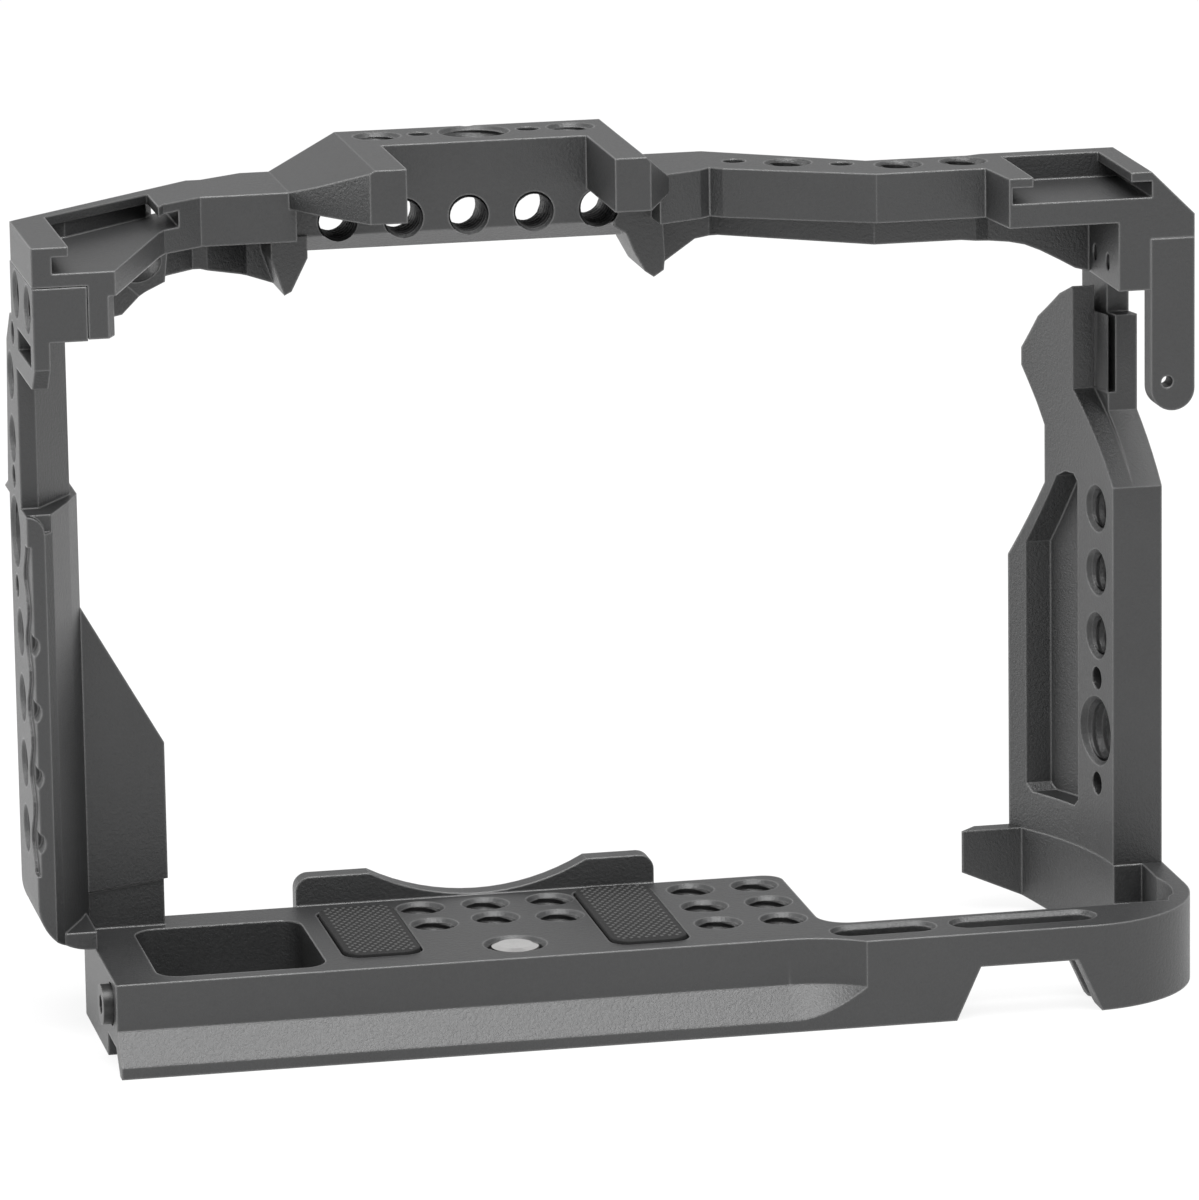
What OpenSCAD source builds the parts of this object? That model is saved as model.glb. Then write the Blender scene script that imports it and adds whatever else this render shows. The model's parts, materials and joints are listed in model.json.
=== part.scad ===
// Camera cage: a metal frame that closes round a mirrorless camera body.
// Right-handed, millimetres, +Z up. The origin is on the axis of the camera
// screw, in the flat underside of the base plate. +X runs to the grip side,
// +Y runs away from the operator, towards the lens.

/* [Base plate] */
// Left end of the base plate, from the screw axis
base_left = 55.2; // [52:0.2:60]
// Right end of the wide part, from the screw axis
base_right = 42.2; // [41.6:0.2:44]
// Depth of the wide part
base_depth = 37; // [36:0.5:40]
// Thickness of the base plate
base_t = 12; // [11:0.5:14]
// Distance of the screw axis from the near face
screw_back = 10.8; // [10.4:0.2:12]
// Depth of the narrow bar under the grip
bar_depth = 9.8; // [9.2:0.2:11]
// Thickness of the dovetail flange
flange_t = 1.6; // [1.2:0.1:2.2]
// Depth of the dovetail groove
groove_depth = 3.6; // [2.8:0.1:4]
// Height of the sloping face of the groove
groove_rise = 4; // [3:0.1:4.4]
// Where the near groove begins to run out
groove_end = 36; // [30:0.5:38]
// Radius of the cutter that made the groove
cutter_r = 15.7; // [12:0.1:18]
// Top of the groove on the far side
far_groove_top = 9; // [7:0.2:9.4]
// Radius of the outer corners in plan
corner_r = 2.8; // [1:0.1:4]
// Radius where the wide part meets the bar
root_r = 4.4; // [2:0.1:5]

/* [Base features] */
// Left edge of the pocket
pocket_left = 49; // [48:0.2:50]
// Length of the pocket
pocket_len = 22.8; // [18:0.2:24]
// Near edge of the pocket from the near face
pocket_near = 6; // [5:0.2:8]
// Width of the pocket
pocket_wide = 24.6; // [18:0.2:25.4]
// Depth of the pocket
pocket_deep = 7.4; // [4:0.2:7.8]
// Length of a grip pad
pad_len = 10.4; // [8:0.1:11]
// Width of the left pad
pad_left_wide = 24.6; // [20:0.2:26]
// Width of the right pad
pad_right_wide = 29; // [22:0.2:29.6]
// Left edge of the left pad
pad_left_x = 23.2; // [22.8:0.1:24]
// Left edge of the right pad
pad_right_x = 12.8; // [12.6:0.1:13.6]
// Near end of the left pad
pad_left_y = 9.2; // [8:0.2:10]
// Near end of the right pad
pad_right_y = 6.6; // [6:0.2:7]
// Depth of a pad's seat
pad_seat = 0.8; // [0.5:0.1:1.2]
// Height of a pad above the plate
pad_proud = 0.6; // [0.3:0.1:1]
// Width of the slots in the narrow bar
slot_wide = 4.6; // [3:0.1:5.4]
// Length of the first slot
slot_len = 13.6; // [10:0.2:14]
// Length of the second slot
slot_far_len = 19.4; // [14:0.2:22]
// Width of the channel in the underside
channel_wide = 10.8; // [6:0.2:11]
// Distance of the channel from the near face
channel_near = 1.6; // [1:0.1:2.4]
// Depth of the channel in the underside
channel_deep = 3.2; // [1.5:0.1:3.6]
// Length of the channel from the left end
channel_len = 40; // [25:1:42]
// Height of the locating lip above the plate
lip_h = 4.1; // [3:0.1:6]
// Thickness of the locating lip
lip_t = 2.8; // [2:0.1:3.4]
// Left end of the locating lip, from the screw axis
lip_left = 25.4; // [24:0.2:27]
// Right end of the locating lip
lip_right = 24.6; // [23:0.2:26]
// Radius of the lens scoop in the lip
scoop_r = 32; // [28:0.5:36]
// Height of the scoop's bottom above the plate
scoop_h = 0.3; // [0.2:0.1:1]
// Near face of the foot block that carries the left plate
foot_near = 32.4; // [31:0.2:33]
// Far face of the foot block
foot_far = 39.8; // [39.6:0.2:41]
// Length of the foot block
foot_len = 10.4; // [8:0.2:12]
// Height of the foot block
foot_h = 5.2; // [4.6:0.1:6]
// Rise of the foot block's top towards the right
foot_rise = 1.3; // [0:0.1:1.6]

/* [Grip hook] */
// Right face of the base, from the screw axis
hook_right = 95.2; // [94:0.2:97]
// Outer radius of the hook
hook_r = 18; // [17:0.2:19]
// Depth of the hook over all
hook_depth = 55.8; // [55:0.2:58]
// Outer radius of the hook's far corner
far_r = 10; // [8:0.5:12]
// Radius of the face that follows the camera's grip
grip_r = 50; // [48:0.5:54]
// Distance from the hook's right face to the grip face
hook_wall = 7; // [6.6:0.1:8]
// Depth at which the grip face is furthest right
grip_mid = 27.8; // [27:0.2:29]
// Left end of the hook's tip
tip_x = 72.4; // [70:0.2:74]
// Thickness of the hook's tip
tip_t = 2.4; // [2:0.1:3]
// Underside of the hook's tip
tip_z = 6; // [4:0.2:8]
// Wall left outside the hook's pocket
rim_t = 2.4; // [1.8:0.1:3.2]
// Floor height of the hook's pocket
rim_floor = 6.4; // [4:0.2:8]
// Height of the gap over the battery door
arch_h = 7.3; // [4:0.1:8.4]
// Left foot of the battery gap
arch_left = 58.4; // [57:0.2:60]
// Right foot of the battery gap
arch_right = 78.6; // [76:0.2:79]

/* [Top plate] */
// Top face of the shoes and arms
top_z = 111; // [108:0.5:116]
// Top face of the raised middle above that
hump_h = 5; // [3:0.2:6]
// Thickness of the arms
arm_t = 6.8; // [5.5:0.1:7.4]
// Depth of the front skirt below the arms
skirt_h = 4; // [2:0.2:5]
// Width of the front skirt in plan
skirt_t = 4.6; // [3.4:0.2:6]
// Middle of the raised part from the screw axis
hump_x = 3.6; // [3:0.2:4.2]
// Width of the notch for the eyepiece
notch_wide = 28.2; // [27:0.2:29]
// Far wall of the notch from the near face
notch_far = 41.8; // [41:0.2:42.4]
// Near ends of the two arms beside the notch
notch_near = 22.6; // [20:0.2:26]
// Far edge of the raised part
hump_far = 54.2; // [53.4:0.2:55.4]
// Depth of the horns beside the eyepiece below the arms
horn_h = 8.2; // [6:0.2:9]
// Thickness of the front wall
front_t = 8; // [6:0.2:9]
// Spacing of the threaded holes
pitch = 9; // [8.8:0.05:9.2]
// Width between the undercuts of an accessory shoe
shoe_wide = 19.4; // [18.8:0.1:19.6]
// Width between the lips of an accessory shoe
shoe_lips = 13.6; // [12.6:0.1:14.4]
// Height of an accessory shoe's undercut
shoe_h = 2.2; // [2:0.05:2.3]
// Thickness of a shoe's lips
shoe_lip = 1.3; // [1:0.1:1.6]
// Near face of the right shoe
right_near = 20; // [19:0.2:21]
// Depth of the right shoe
right_deep = 17.3; // [16:0.1:17.6]
// Near face of the left tab
left_near = 6; // [5:0.2:8]
// Height of the outer right chamfer
edge_chamfer = 6; // [3:0.1:6.6]

/* [Top plate outline] */
// Where the left outline leaves the outer face
left_corner_y = 27.5; // [26:0.5:30]
// Left shoulder of the far edge, from the screw axis
shoulder_x = 36; // [34:0.5:37]
// Depth of the far edge at the left shoulder
shoulder_y = 50.5; // [49:0.5:52]
// Where the far edge reaches the raised part's depth
join_x = 28; // [26:0.5:30]
// Near edge of the left arm
left_arm_y = 37.4; // [36:0.2:38]
// Right lip of the left shoe
left_lip_x = 42.6; // [42:0.2:43.4]
// Near end of that lip
left_lip_y = 31.4; // [30:0.2:33]
// Foot of the raised part's left slope
rise_left = 24; // [22:0.5:26]
// Foot of the raised part's right slope
rise_right = 27.6; // [26:0.2:29]
// Half width of the raised part's flat top
flat_half = 18.4; // [17.4:0.2:19.6]
// Where the right arm turns towards the operator
turn_x = 36; // [34:0.5:38]
// Near edge of the right arm at that turn
turn_y = 40; // [39:0.2:41]
// Where the right arm straightens again
bend_x = 55; // [52:0.5:56]
// Near edge of the straight right arm
arm_near = 29; // [28:0.2:30]
// Far edge of the straight right arm
arm_far = 39.4; // [38.6:0.2:39.8]
// Left end of the right shoe's block
block_x = 71.2; // [70:0.2:72]
// Far edge of the right shoe's block
block_far = 40.2; // [40:0.2:42]
// Left face of the right corner block
corner_x = 86.4; // [85.6:0.2:87]
// Underside of the corner block
corner_z = 94.8; // [93:0.2:96]
// Right face of the corner block, where the lug plate begins
lug_x = 90.9; // [90.5:0.1:91.4]
// Right face of the lug plate
lug_right = 97; // [96:0.2:98]
// Top of the lug plate
lug_top = 101.8; // [100:0.2:103]
// Bottom of the lug plate
lug_bottom = 78; // [74:0.5:82]
// Thickness of the lug plate
lug_t = 3.4; // [2.6:0.1:3.8]

/* [Left plate] */
// Outer face of the left plate, from the screw axis
left_x = 63.2; // [62.8:0.1:64]
// Near strip of the left plate
strip_y = 18.6; // [18:0.2:20]
// Far edge of the left plate
left_far = 40; // [39.6:0.2:41]
// Length of the wing towards the right
wing_len = 11.2; // [8:0.2:12]
// Thickness of the wing
wing_t = 3.6; // [2.6:0.1:4.4]
// Depth of the waved relief on the outer face
wave_deep = 0.5; // [0.3:0.05:0.8]
// Half height of the waves
wave_amp = 1.3; // [0.6:0.1:1.8]
// Width of the strap slot
strap_wide = 13; // [10:0.2:14]
// Height of the strap slot
strap_h = 3; // [2.4:0.1:3.4]

/* [Right plate] */
// Near face of the right plate
plate_y = 30; // [29.4:0.2:30.6]
// Height of the kink in the near face
kink_z = 65.4; // [60:0.2:68]
// How far the near face falls back above the kink
kink_back = 9; // [7:0.2:9.6]
// Depth of the pocket in the inner face
recess_deep = 3.2; // [2:0.1:3.8]
// Top of the inner leaf
leaf_top = 91.4; // [88:0.2:93]
// Thickness of the inner leaf
leaf_t = 3; // [2.2:0.1:3.2]

/* [Threads and fits] */
// Diameter of a quarter-inch threaded bore
quarter_d = 5.5; // [5.1:0.05:5.8]
// Diameter of a three-eighths threaded bore
three_d = 8.7; // [8:0.05:9]
// Diameter of a locating hole
pin_d = 3.2; // [2.8:0.05:3.6]
// Distance of locating holes from their bore
pin_gap = 7.5; // [7.2:0.05:7.7]
// Chamfer of threaded bores and slots
bore_chamfer = 0.55; // [0.3:0.05:0.7]
// Clearance between parts that are not in contact
gap = 0.3; // [0.2:0.05:0.4]
// Width of the seam between two plates
seam = 0.12; // [0.05:0.01:0.2]
// Diameter of a joint screw's head
joint_head = 3.8; // [3.4:0.1:4.2]
// Height of a joint screw's head
joint_head_h = 2; // [1.6:0.1:2.4]
// Diameter of a joint screw's shank
joint_d = 2; // [1.6:0.1:2.4]
// Diameter of a dowel pin
dowel_d = 2; // [1.5:0.1:2.2]
// Length of a joint screw in the plate that it holds
joint_in = 4; // [3:0.2:4.4]
// Length of a dowel in the thicker plate
dowel_in = 3; // [2:0.2:3.4]
// Depth of the camera screw's hex socket
socket_deep = 1.2; // [0.8:0.1:1.5]

/* [Camera screw] */
// Thread diameter
thread_d = 6.35; // [6:0.05:6.4]
// Waist diameter
waist_d = 4.8; // [4.2:0.1:5.2]
// Head diameter
head_d = 12.6; // [10:0.1:12.8]
// Head height
head_h = 3; // [2.4:0.1:3.4]
// Travel of the captive screw
travel = 4.2; // [3:0.1:4.4]
// Height of the head above the underside when lowered
head_rest = 0.4; // [0.2:0.1:0.8]
// Retaining ring thickness
ring_t = 1; // [0.8:0.1:1.2]
// Washer thickness
washer_t = 0.5; // [0.3:0.1:0.6]

/* [Quality] */
// Facets of round faces
round_fn = 96; // [48:12:144]
// Points in one wave of the relief
wave_points = 12; // [6:1:18]

/* [Hidden] */
$fn = round_fn;

// Clearance of cutting tools beyond a face.
over = 1;
// Small overlap that joins two solids of one piece.
fuse = 0.02;
groove_z = flange_t + groove_rise;
tip_y = hook_depth - tip_t;
plate_far = hook_depth - gap;
rise_z = top_z + hump_h;
arm_z = top_z - arm_t;
skirt_z = arm_z - skirt_h;
floor_z = top_z - shoe_lip - shoe_h;
quarter_r = quarter_d/2;
three_r = three_d/2;
pin_r = pin_d/2;
far_big = 3*hook_depth;

// Basic shapes between bounds
module box(a, b) {
    translate(a)
        cube(b - a);
}

module prism_z(points, z0, z1) {
    translate([0, 0, z0])
        linear_extrude(height = z1 - z0)
            polygon(points);
}

module prism_y(points, y0, y1) {
    translate([0, y1, 0])
        rotate([90, 0, 0])
            linear_extrude(height = y1 - y0)
                polygon(points);
}

module prism_x(points, x0, x1) {
    translate([x0, 0, 0])
        rotate([90, 0, 90])
            linear_extrude(height = x1 - x0)
                polygon(points);
}

module rod_z(at, r, z0, z1) {
    translate([at[0], at[1], z0])
        cylinder(r = r, h = z1 - z0);
}

module rod_x(at, r, x0, x1) {
    translate([x0, at[0], at[1]])
        rotate([0, 90, 0])
            cylinder(r = r, h = x1 - x0);
}

module rod_y(at, r, y0, y1) {
    translate([at[0], y1, at[1]])
        rotate([90, 0, 0])
            cylinder(r = r, h = y1 - y0);
}

// A bore along +Z through z = 0..depth, with a chamfer at each end that breaks out
module bore(r, depth, low = true, high = true) {
    c = bore_chamfer;
    translate([0, 0, -over])
        cylinder(r = r, h = depth + 2*over);
    if (high)
        translate([0, 0, depth - c])
            cylinder(r1 = r, r2 = r + c + over, h = c + over);
    if (low)
        translate([0, 0, -over])
            cylinder(r1 = r + c + over, r2 = r, h = c + over);
}

module bore_z(x, y, r, z0, z1) {
    translate([x, y, z0])
        bore(r, z1 - z0);
}

// A blind bore that opens at z = 0 and goes along +Z
module blind(r, depth) {
    c = bore_chamfer;
    translate([0, 0, -over])
        cylinder(r = r, h = depth + over);
    translate([0, 0, -over])
        cylinder(r1 = r + c + over, r2 = r, h = c + over);
}

module blind_x(y, z, r, x, depth) {
    translate([x, y, z])
        rotate([0, 90, 0])
            blind(r, depth);
}

module blind_down(x, y, r, z, depth) {
    translate([x, y, z])
        rotate([180, 0, 0])
            blind(r, depth);
}

module bore_x(y, z, r, x0, x1) {
    translate([x0, y, z])
        rotate([0, 90, 0])
            bore(r, x1 - x0);
}

module bore_y(x, z, r, y0, y1) {
    translate([x, y1, z])
        rotate([90, 0, 0])
            bore(r, y1 - y0);
}

// Upright block with round corners in plan
module round_box(a, b, r) {
    box([a[0] + r, a[1], a[2]], [b[0] - r, b[1], b[2]]);
    box([a[0], a[1] + r, a[2]], [b[0], b[1] - r, b[2]]);
    for (x = [a[0] + r, b[0] - r])
        for (y = [a[1] + r, b[1] - r])
            rod_z([x, y], r, a[2], b[2]);
}

// The part's frame: the builders below measure y from the near face
module placed() {
    translate([0, -screw_back, 0])
        children();
}

// Base plate

pad_l0 = [-pad_left_x, pad_left_y];
pad_r0 = [pad_right_x, pad_right_y];
pad_corner = pad_len/4;
near_centre = [hook_right - hook_r, hook_r];
far_centre = [hook_right - far_r, hook_depth - far_r];
grip_centre = [hook_right - hook_wall - grip_r, grip_mid];
foot_x0 = -base_left + 2*gap;
slot_y = bar_depth/2 + 3*gap;
slot_1 = base_right + 2*gap;
slot_2 = slot_1 + slot_len + 2*gap + slot_wide/2;

module base_outline() {
    difference() {
        union() {
            polygon([[-base_left, 0], [base_right, 0], [base_right, base_depth - corner_r],
                [base_right - corner_r, base_depth], [-base_left, base_depth]]);
            translate([base_right - corner_r, base_depth - corner_r])
                circle(r = corner_r);
            translate([-base_left, 0])
                square([base_left + near_centre[0], bar_depth]);
            translate([base_right - fuse, bar_depth - fuse])
                square([root_r + fuse, root_r + fuse]);
        }
        translate([base_right + root_r, bar_depth + root_r])
            circle(r = root_r);
    }
}

module hook_outline() {
    difference() {
        union() {
            translate(near_centre)
                circle(r = hook_r);
            translate(far_centre)
                circle(r = far_r);
            polygon([near_centre, [hook_right, near_centre[1]], [hook_right, far_centre[1]],
                [far_centre[0], far_centre[1]], [far_centre[0], hook_depth],
                [tip_x + tip_t, hook_depth], [tip_x, tip_y], [near_centre[0], tip_y]]);
            translate([near_centre[0] - over, 0])
                square([over, bar_depth]);
        }
        intersection() {
            translate(grip_centre)
                circle(r = grip_r);
            translate([0, bar_depth])
                square([hook_right, tip_y - bar_depth]);
        }
    }
}

// The groove is cut by a cone-shaped cutter that runs out on an arc
module near_groove() {
    centre_y = groove_depth - cutter_r;
    box([-base_left - over, -over, groove_z], [groove_end, groove_depth, base_t + over]);
    rod_z([groove_end, centre_y], cutter_r, groove_z - fuse, base_t + over);
    prism_x([[-over, flange_t - over*groove_rise/groove_depth], [groove_depth, groove_z],
        [groove_depth, groove_z + fuse], [-over, groove_z + fuse]], -base_left - over, groove_end);
    translate([groove_end, centre_y, flange_t])
        cylinder(r1 = cutter_r - groove_depth, r2 = cutter_r, h = groove_rise);
}

module far_groove() {
    y = base_depth;
    prism_x([[y + over, flange_t - over*groove_rise/groove_depth], [y - groove_depth, groove_z],
        [y - groove_depth, far_groove_top], [y + over, far_groove_top]],
        -base_left - over, base_right + over);
    box([-base_left - over, y - groove_depth, -over],
        [-base_left + foot_len + over, y + over, groove_z]);
}

module pad_shape(at, wide, clear, z0, z1) {
    round_box([at[0] - clear, at[1] - clear, z0],
        [at[0] + pad_len + clear, at[1] + wide + clear, z1], pad_corner);
}

module bar_slot(x, len) {
    r = slot_wide/2;
    c = bore_chamfer;
    for (dx = [r, len - r]) {
        translate([x + dx, slot_y, 0])
            bore(r, base_t);
    }
    box([x + r, slot_y - r, -over], [x + len - r, slot_y + r, base_t + over]);
    prism_x([[slot_y - r, base_t - c], [slot_y + r, base_t - c],
        [slot_y + r + c + over, base_t + over], [slot_y - r - c - over, base_t + over]],
        x + r, x + len - r);
}

module lip() {
    r = lip_h/2;
    y0 = base_depth - fuse;
    intersection() {
        difference() {
            union() {
                box([-lip_left, y0, far_groove_top], [lip_right, y0 + lip_t, base_t + lip_h - r]);
                box([-lip_left + r, y0, far_groove_top], [lip_right - r, y0 + lip_t, base_t + lip_h]);
                for (x = [-lip_left + r, lip_right - r])
                    rod_y([x, base_t + lip_h - r], r, y0, y0 + lip_t);
            }
            rod_y([0, base_t + scoop_h + scoop_r], scoop_r, y0 - over, y0 + lip_t + over);
        }
        box([-base_left, 0, 0], [base_right, far_big, far_big]);
    }
}

module foot() {
    x1 = foot_x0 + foot_len;
    prism_y([[foot_x0, base_t - fuse], [x1, base_t - fuse], [x1, base_t + foot_h + foot_rise],
        [foot_x0, base_t + foot_h]], foot_near, foot_far);
    box([foot_x0, base_depth - corner_r, far_groove_top], [x1, foot_far, base_t]);
}

module grip_pocket() {
    difference() {
        intersection() {
            union() {
                translate([near_centre[0], near_centre[1], rim_floor])
                    cylinder(r = hook_r - rim_t, h = base_t);
                box([near_centre[0], near_centre[1], rim_floor],
                    [hook_right - rim_t - bore_chamfer, plate_y - gap, base_t + over]);
            }
            box([near_centre[0] + slot_wide, bar_depth + gap, 0],
                [hook_right, plate_y - gap, base_t + over]);
        }
        rod_z([hook_right, bar_depth], slot_wide, 0, base_t + over);
    }
}

module base_plate_body() {
    difference() {
        union() {
            linear_extrude(height = base_t)
                base_outline();
            difference() {
                linear_extrude(height = base_t)
                    hook_outline();
                // the tip's underside slopes up towards its end
                prism_y([[0, -over], [near_centre[0] + bar_depth, -over],
                    [near_centre[0] + bar_depth - over, 0], [tip_x, tip_z], [0, tip_z]],
                    hook_depth - tip_run, far_big);
            }
            lip();
            foot();
        }
        near_groove();
        far_groove();
        // battery-door gap
        slope = (arch_right - arch_left)/6;
        prism_y([[arch_left - slope/2, -over], [arch_left, 0], [arch_left + slope, arch_h],
            [arch_right - slope, arch_h], [arch_right, 0], [arch_right + slope/2, -over]],
            -over, bar_depth + over);
        grip_pocket();
        // pocket, and the channel of the underside
        round_box([-pocket_left, pocket_near, base_t - pocket_deep],
            [-pocket_left + pocket_len, pocket_near + pocket_wide, base_t + over], corner_r + gap);
        prism_x([[channel_near - over, -over], [channel_near + channel_deep, channel_deep],
            [channel_near + channel_wide, channel_deep], [channel_near + channel_wide, -over]],
            -base_left - over, -base_left + channel_len);
        // pad seats
        pad_shape(pad_l0, pad_left_wide, gap, base_t - pad_seat, base_t + over);
        pad_shape(pad_r0, pad_right_wide, gap, base_t - pad_seat, base_t + over);
        // captive screw: through hole and well
        translate([0, screw_back, 0])
            bore(thread_d/2 + 2*gap, base_t);
        rod_z([0, screw_back], head_d/2 + 2*gap, -over, well_z);
        // threaded holes around it
        for (i = [-1, 0, 1]) {
            bore_z(i*pitch, base_holes_y, quarter_r, 0, base_t);
        }
        for (i = [-1, 1])
            bore_z(i*(pitch - gap), base_holes_y - pitch + gap, quarter_r, 0, base_t);
        bore_z(0, base_holes_y - pitch + 5*gap, quarter_r, 0, base_t);
        for (i = [0, 1])
            for (j = [0, 1, 2])
                bore_z(base_right - pitch/2 - i*pitch, base_holes_y - j*pitch, quarter_r, 0, base_t);
        bar_slot(slot_1, slot_len);
        bar_slot(slot_2, slot_far_len);
        // end stop screw
        rod_x([stop_y, stop_z], stop_head/2 + gap, -base_left - over, -base_left + stop_sunk);
        rod_x([stop_y, stop_z], stop_d/2 + gap/2, -base_left, -base_left + stop_len + gap);
        // joints: side plates
        for (y = low_left_y)
            rod_x([y, low_left_z], joint_d/2 + gap/2, foot_x0 - over, foot_x0 + joint_in + gap);
        for (p = low_right) {
            rod_z(p, joint_d/2 + gap/2, -over, base_t + over);
            rod_z(p, joint_head/2 + gap, -over, low_seat);
        }
        rod_z(dowel_right, dowel_d/2, base_t - dowel_in, base_t + over);
    }
}

well_z = head_rest + head_h + washer_t + travel + ring_t;
base_holes_y = base_depth - pitch/2 - gap;
tip_run = 13;
stop_y = 8.5;
stop_z = 8.2;
stop_head = 5.4;
stop_high = 2.8;
stop_sunk = 1.4;
stop_d = 3;
stop_len = 5.6;
socket_share = 0.55;
low_left_y = [34, 38];
low_left_z = 15.2;
low_seat = 4.4;
far_inset = 2.6;
near_turn = 6;
dowel_turn = 19;
ring_r = grip_r + hook_wall/2;
far_turn = asin((plate_far - far_inset - grip_mid)/ring_r);

// Place on the middle line of the curved wall, at an angle from +X
function on_ring(turn) = grip_centre + ring_r*[cos(turn), sin(turn)];

low_right = [on_ring(near_turn), on_ring(far_turn)];
dowel_right = on_ring(dowel_turn);

// Pads and small hardware

module pad_body(at, wide) {
    pad_shape(at, wide, 0, base_t - pad_seat, base_t + pad_proud);
}

// Cap screw along +Z: seat of the head at z = 0, head below, hex socket from the end
module cap_screw(head, high, d, len) {
    difference() {
        union() {
            translate([0, 0, -high])
                cylinder(d = head, h = high);
            cylinder(d = d, h = len);
        }
        translate([0, 0, -high - over])
            cylinder(d = head*socket_share, h = high*socket_share + over, $fn = 6);
    }
}

// Joint screw along +Z, from the seat of its head to z1
module joint_z(at, z, z1) {
    translate([at[0], at[1], z])
        cap_screw(joint_head, joint_head_h, joint_d, z1 - z);
}

// Joint screw along X, from the seat of its head at x to x1
module joint_x(y, z, x, x1, high = joint_head_h) {
    translate([x, y, z])
        rotate([0, x1 > x ? 90 : -90, 0])
            cap_screw(joint_head, high, joint_d, abs(x1 - x));
}

module camera_screw_body() {
    z0 = head_rest;
    slot = thread_d/5;
    difference() {
        union() {
            rod_z([0, screw_back], head_d/2, z0, z0 + head_h);
            rod_z([0, screw_back], waist_d/2, z0, well_z + gap);
            rod_z([0, screw_back], thread_d/2, well_z + gap/2, base_t - gap);
            translate([0, screw_back, base_t - gap])
                cylinder(d1 = thread_d, d2 = waist_d, h = gap);
        }
        box([-head_d, screw_back - slot/2, z0 - over], [head_d, screw_back + slot/2, z0 + socket_deep]);
        translate([0, screw_back, z0 - over])
            cylinder(d = waist_d, h = 2*socket_deep + over, $fn = 6);
    }
}

module screw_ring_body() {
    difference() {
        rod_z([0, screw_back], head_d/2 - gap, well_z - ring_t, well_z);
        rod_z([0, screw_back], waist_d/2 + gap, well_z - ring_t - over, well_z + over);
    }
}

module screw_washer_body() {
    z0 = head_rest + head_h;
    difference() {
        rod_z([0, screw_back], head_d/2 - gap, z0, z0 + washer_t);
        rod_z([0, screw_back], waist_d/2 + gap, z0 - over, z0 + washer_t + over);
    }
}

module stop_screw_body() {
    translate([-base_left + stop_sunk, stop_y, stop_z])
        rotate([0, 90, 0])
            cap_screw(stop_head, stop_high, stop_d, stop_len - stop_sunk);
}

// Left plate

plate_x1 = foot_x0;
plate_z0 = base_t + 2*gap;
left_seat = 1.9;
tab_top = floor_z - left_seat;
tab_block = 7.2;
tab_leaf = 2.2;
tab_bottom = 91.8;
tab_chamfer = 3;
tab_bore_deep = 4.5;
strut_y = 24;
strut_z = 72.6;
strip_wide = 2.4;
fold_a = [3.6, 1.4];
fold_b = [6.8, 8.4];
fold_c = [8.3, 13.4];
toe_h = 2.4;
toe_y = 1.6;
corner_low = 7;
face_far = 35.2;
column_deep = 5;
strut_deep = 4;
strip_round = 2.4;
wing_z = 37.6;
wing_top = 57;
left_bores_y = 28;
left_bores_z = 28;
relief_y = 3.4;
notch_d = 3.3;
notch_deep = 3;
notch_out = 0.4;
tab_bores = [11.2, 22.4];
tab_bores_z = 102;
strap_y = 8.6;
strap_z = 94.6;
left_pin = [26.8, 96];
big_left = [30, 68.4];
strut_bores = [81, 89.6];
strut_bores_y = 30.2;
strut_edge = [[36.5, 74], [34.2, 89], [33.4, 94], [29.4, 98.2]];

module left_section(y, z0, z1) {
    x = -left_x;
    prism_z([[x, y], [x + strip_wide, y], [x + fold_a[0], y + fold_a[1]], [x + fold_b[0], y + fold_b[1]],
        [plate_x1, y + fold_c[1]], [plate_x1, left_far], [x, left_far]], z0, z1);
}

module wave_relief() {
    n = 5*wave_points;
    step = pitch/wave_points;
    z0 = left_bores_z - pitch/2;
    prism_x(concat([[strip_y - over, z0]], [for (i = [0 : n])
        [strip_y + relief_y - wave_amp*cos(360*i/wave_points), z0 + i*step]],
        [[strip_y - over, z0 + n*step]]), -left_x - over, -left_x + wave_deep);
}

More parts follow.
